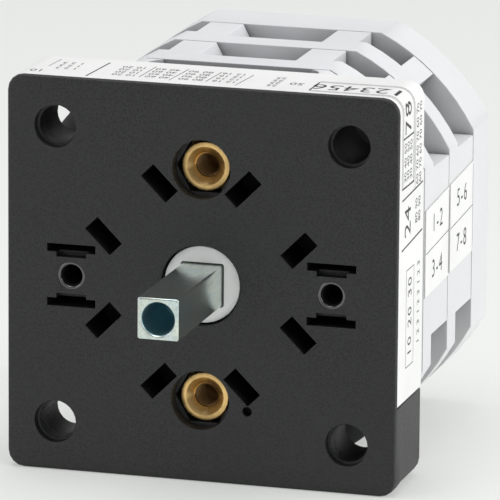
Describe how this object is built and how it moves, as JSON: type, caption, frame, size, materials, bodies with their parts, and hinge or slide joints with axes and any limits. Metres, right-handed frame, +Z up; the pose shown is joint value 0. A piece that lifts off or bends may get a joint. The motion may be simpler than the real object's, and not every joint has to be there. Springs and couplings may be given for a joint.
{
  "type": "rotary isolator switch",
  "caption": "Panel-mounting rotary isolator switch with a bare square shaft, black front plate with brass nuts, and grey stacked contact decks with cams, bridges and screw terminals",
  "frame": {"origin": "centre of the bounding box in x and y, at the bottom edge of the front plate in z; the shaft axis is 24 mm above it", "axes": "+X to the right seen from the front, +Y from the shaft end to the rear cover along the shaft axis, +Z up; the front faces -Y"},
  "size_m": [0.048, 0.0634, 0.048],
  "materials": {
    "black_moulding": "fine-grained black thermoplastic",
    "grey_moulding": "smooth light grey thermoplastic",
    "cam_moulding": "black thermoplastic",
    "white_nylon": "natural white polyamide",
    "label_paper": "white printed label",
    "brass": "turned brass",
    "zinc_steel": "blue-passivated zinc plate",
    "spring_steel": "drawn spring wire",
    "contact_metal": "copper alloy with silver contact tips"
  },
  "bodies": {
    "switch_body": {"front_plate": "black_moulding", "latch_housing": "black_moulding", "rating_label": "label_paper", "panel_nut_top": "brass", "panel_nut_bottom": "brass", "index_spring_upper_right": "spring_steel", "index_spring_lower_left": "spring_steel", "deck_base": "grey_moulding", "contact_deck_1": "grey_moulding", "contact_deck_2": "grey_moulding", "rear_cover": "grey_moulding", "tie_screw_top": "zinc_steel", "tie_screw_bottom": "zinc_steel", "side_label_1": "label_paper", "side_label_2": "label_paper", "contact_spring_1_right": "spring_steel", "contact_spring_1_left": "spring_steel", "terminal_1_upper_right": "contact_metal", "clamp_washer_1_upper_right": "zinc_steel", "terminal_screw_1_upper_right": "zinc_steel", "terminal_1_upper_left": "contact_metal", "clamp_washer_1_upper_left": "zinc_steel", "terminal_screw_1_upper_left": "zinc_steel", "terminal_1_lower_left": "contact_metal", "clamp_washer_1_lower_left": "zinc_steel", "terminal_screw_1_lower_left": "zinc_steel", "terminal_1_lower_right": "contact_metal", "clamp_washer_1_lower_right": "zinc_steel", "terminal_screw_1_lower_right": "zinc_steel", "contact_spring_2_right": "spring_steel", "contact_spring_2_left": "spring_steel", "terminal_2_upper_right": "contact_metal", "clamp_washer_2_upper_right": "zinc_steel", "terminal_screw_2_upper_right": "zinc_steel", "terminal_2_upper_left": "contact_metal", "clamp_washer_2_upper_left": "zinc_steel", "terminal_screw_2_upper_left": "zinc_steel", "terminal_2_lower_left": "contact_metal", "clamp_washer_2_lower_left": "zinc_steel", "terminal_screw_2_lower_left": "zinc_steel", "terminal_2_lower_right": "contact_metal", "clamp_washer_2_lower_right": "zinc_steel", "terminal_screw_2_lower_right": "zinc_steel"},
    "rotor": {"shaft": "zinc_steel", "retaining_clip": "spring_steel", "index_wheel": "white_nylon", "contact_cam_1": "cam_moulding", "contact_cam_2": "cam_moulding"},
    "moving_contact_1_right": {"contact_plunger_1_right": "white_nylon", "contact_bridge_1_right": "contact_metal"},
    "moving_contact_1_left": {"contact_plunger_1_left": "white_nylon", "contact_bridge_1_left": "contact_metal"},
    "moving_contact_2_right": {"contact_plunger_2_right": "white_nylon", "contact_bridge_2_right": "contact_metal"},
    "moving_contact_2_left": {"contact_plunger_2_left": "white_nylon", "contact_bridge_2_left": "contact_metal"},
    "index_latch_upper_right": {"index_plunger_upper_right": "white_nylon"},
    "index_latch_lower_left": {"index_plunger_lower_left": "white_nylon"}
  },
  "joints": [
    {"name": "shaft_turn", "type": "hinge", "parent": "switch_body", "child": "rotor", "pos_m": [0, 0, 0.024], "axis": [0, 1, 0], "range_deg": [0, 90]},
    {"name": "contact_slide_1_right", "type": "slide", "parent": "switch_body", "child": "moving_contact_1_right", "axis": [-1, 0, 0], "range_m": [0, 0.00241], "deforming": ["contact_spring_1_right"]},
    {"name": "contact_slide_1_left", "type": "slide", "parent": "switch_body", "child": "moving_contact_1_left", "axis": [1, 0, 0], "range_m": [0, 0.00241], "deforming": ["contact_spring_1_left"]},
    {"name": "contact_slide_2_right", "type": "slide", "parent": "switch_body", "child": "moving_contact_2_right", "axis": [-1, 0, 0], "range_m": [0, 0.00241], "deforming": ["contact_spring_2_right"]},
    {"name": "contact_slide_2_left", "type": "slide", "parent": "switch_body", "child": "moving_contact_2_left", "axis": [1, 0, 0], "range_m": [0, 0.00241], "deforming": ["contact_spring_2_left"]},
    {"name": "index_slide_upper_right", "type": "slide", "parent": "switch_body", "child": "index_latch_upper_right", "axis": [0.7071, 0, 0.7071], "range_m": [0, 0.0012], "stiffness_N_per_m": 1500, "springref_m": -0.0015, "deforming": ["index_spring_upper_right"]},
    {"name": "index_slide_lower_left", "type": "slide", "parent": "switch_body", "child": "index_latch_lower_left", "axis": [-0.7071, 0, -0.7071], "range_m": [0, 0.0012], "stiffness_N_per_m": 1500, "springref_m": -0.0015, "deforming": ["index_spring_lower_left"]}
  ],
  "couplings": [
    {"joint": "contact_slide_1_right", "follows": "shaft_turn", "m_per_rad": 0.0015279},
    {"joint": "contact_slide_1_left", "follows": "shaft_turn", "m_per_rad": 0.0015279},
    {"joint": "contact_slide_2_right", "follows": "shaft_turn", "m_per_rad": 0.0015279},
    {"joint": "contact_slide_2_left", "follows": "shaft_turn", "m_per_rad": 0.0015279}
  ]
}
